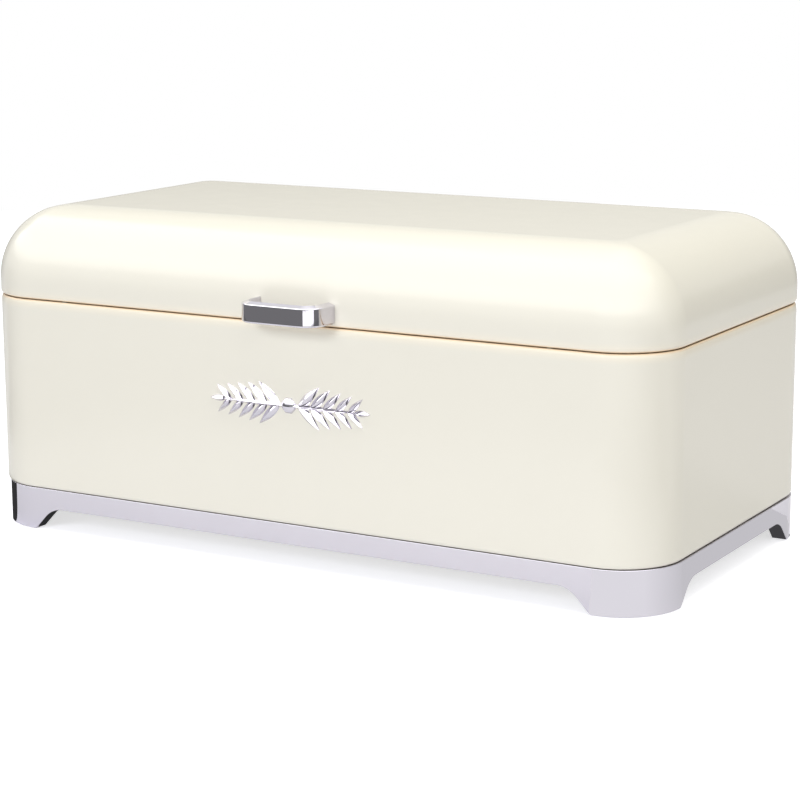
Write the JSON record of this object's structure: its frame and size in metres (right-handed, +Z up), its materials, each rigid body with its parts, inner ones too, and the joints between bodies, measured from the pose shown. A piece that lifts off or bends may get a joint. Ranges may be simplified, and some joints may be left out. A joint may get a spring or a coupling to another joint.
{
  "type": "bread box",
  "caption": "Painted steel bread box with rounded corners, a domed lid hinged at the back, a strap handle and a chromed plinth with four feet.",
  "frame": {"origin": "centre of the overall footprint, handle and hinges included, on the surface that the feet stand on", "axes": "+X to the right along the front, +Y from the handle towards the hinges, +Z up"},
  "size_m": [0.42, 0.2464, 0.1825],
  "materials": {
    "paint": "gloss cream enamel",
    "chrome": "mirror chrome plate",
    "zinc": "zinc plated steel",
    "rubber": "matt black",
    "silicone": "translucent silicone"
  },
  "bodies": {
    "bin": {"body_shell": "paint", "rim_collar": "paint", "bottom_pan": "paint", "plinth": "chrome", "wheat_ornament": "chrome", "foot_pad_front_left": "rubber", "foot_pad_front_right": "rubber", "foot_pad_back_left": "rubber", "foot_pad_back_right": "rubber", "rim_bumper_left": "silicone", "rim_bumper_right": "silicone", "plinth_screw_front_left": "zinc", "plinth_screw_front_right": "zinc", "plinth_screw_back_left": "zinc", "plinth_screw_back_right": "zinc", "ornament_push_nut_left": "zinc", "ornament_push_nut_right": "zinc", "hinge_body_leaf_left": "zinc", "hinge_body_leaf_right": "zinc", "hinge_pin_left": "zinc", "hinge_pin_right": "zinc", "body_rivet_left_outer": "zinc", "body_rivet_left_inner": "zinc", "body_rivet_right_outer": "zinc", "body_rivet_right_inner": "zinc"},
    "lid": {"lid_shell": "paint", "handle": "chrome", "handle_washer_left": "zinc", "handle_washer_right": "zinc", "handle_nut_left": "zinc", "handle_nut_right": "zinc", "hinge_lid_leaf_left": "zinc", "hinge_lid_leaf_right": "zinc", "lid_rivet_left_outer": "zinc", "lid_rivet_left_inner": "zinc", "lid_rivet_right_outer": "zinc", "lid_rivet_right_inner": "zinc"}
  },
  "joints": [
    {"name": "lid_hinge", "type": "hinge", "parent": "bin", "child": "lid", "pos_m": [0, 0.11713, 0.1328], "axis": [-1, 0, 0], "range_deg": [0, 105]}
  ]
}
